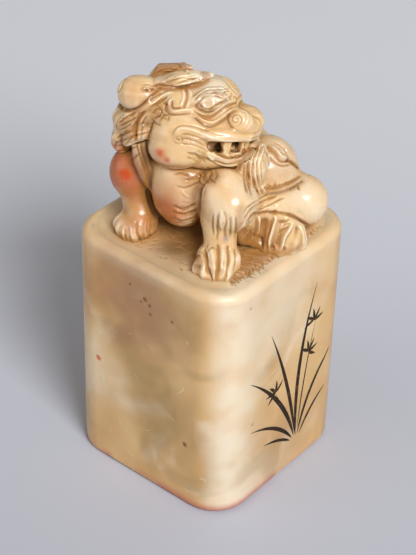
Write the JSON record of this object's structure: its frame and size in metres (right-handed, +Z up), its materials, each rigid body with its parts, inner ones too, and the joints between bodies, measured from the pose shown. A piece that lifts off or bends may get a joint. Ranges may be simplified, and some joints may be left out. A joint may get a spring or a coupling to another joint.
{
  "type": "seal stone",
  "caption": "Hand-carved soapstone seal: a rounded square block with a crouching lion knob on top, its head turned aside, and a raised fret cut in the sealing face.",
  "frame": {"origin": "centre of the sealing face, on the surface that the seal stands on", "axes": "+Z up from the sealing face to the lion, -Y the way the lion's body faces, +X the lion's left, the side to which its head is turned"},
  "size_m": [0.026, 0.026, 0.0568],
  "materials": {
    "block_stone": "polished warm cream soapstone, slightly translucent, with faint clouding and fine scratches",
    "lion_stone": "polished cream soapstone, worn bright on the high places, brown dirt in the cuts",
    "rose_stone": "rose to orange-red vein of the same stone, polished",
    "ground_stone": "scratched, unpolished ground with brown dirt",
    "cinnabar_face": "cut face with dried cinnabar paste"
  },
  "bodies": {
    "root": {"back_lock_1": "lion_stone", "back_lock_2": "lion_stone", "back_lock_3": "lion_stone", "back_lock_4": "lion_stone", "chest": "rose_stone", "collar_locks": "lion_stone", "cranium": "lion_stone", "ground": "ground_stone", "left_brow": "lion_stone", "left_cheek": "lion_stone", "left_ear": "lion_stone", "left_eye": "lion_stone", "left_fang": "lion_stone", "left_foreleg": "lion_stone", "left_forepaw": "lion_stone", "left_haunch": "lion_stone", "left_hind_paw": "lion_stone", "left_incisor": "lion_stone", "left_mane_knot": "lion_stone", "left_nostril": "lion_stone", "left_tail_curl": "lion_stone", "left_thigh": "lion_stone", "lower_jaw": "lion_stone", "lower_lip": "lion_stone", "lower_nape_lock_left": "lion_stone", "lower_nape_lock_middle": "lion_stone", "lower_nape_lock_right": "lion_stone", "muzzle": "lion_stone", "neck": "lion_stone", "nose": "lion_stone", "right_brow": "lion_stone", "right_cheek": "lion_stone", "right_ear": "lion_stone", "right_eye": "lion_stone", "right_fang": "lion_stone", "right_foreleg": "rose_stone", "right_forepaw": "lion_stone", "right_haunch": "lion_stone", "right_hind_paw": "lion_stone", "right_incisor": "lion_stone", "right_mane_knot": "lion_stone", "right_mane_lock": "lion_stone", "right_nostril": "lion_stone", "right_tail_curl": "lion_stone", "right_thigh": "lion_stone", "seal_block": "block_stone", "sealing_face": "cinnabar_face", "spine_ridge": "lion_stone", "tail": "lion_stone", "tongue": "rose_stone", "torso": "lion_stone", "upper_lip": "lion_stone", "upper_nape_lock_left": "lion_stone", "upper_nape_lock_middle": "lion_stone", "upper_nape_lock_right": "lion_stone"}
  },
  "joints": []
}
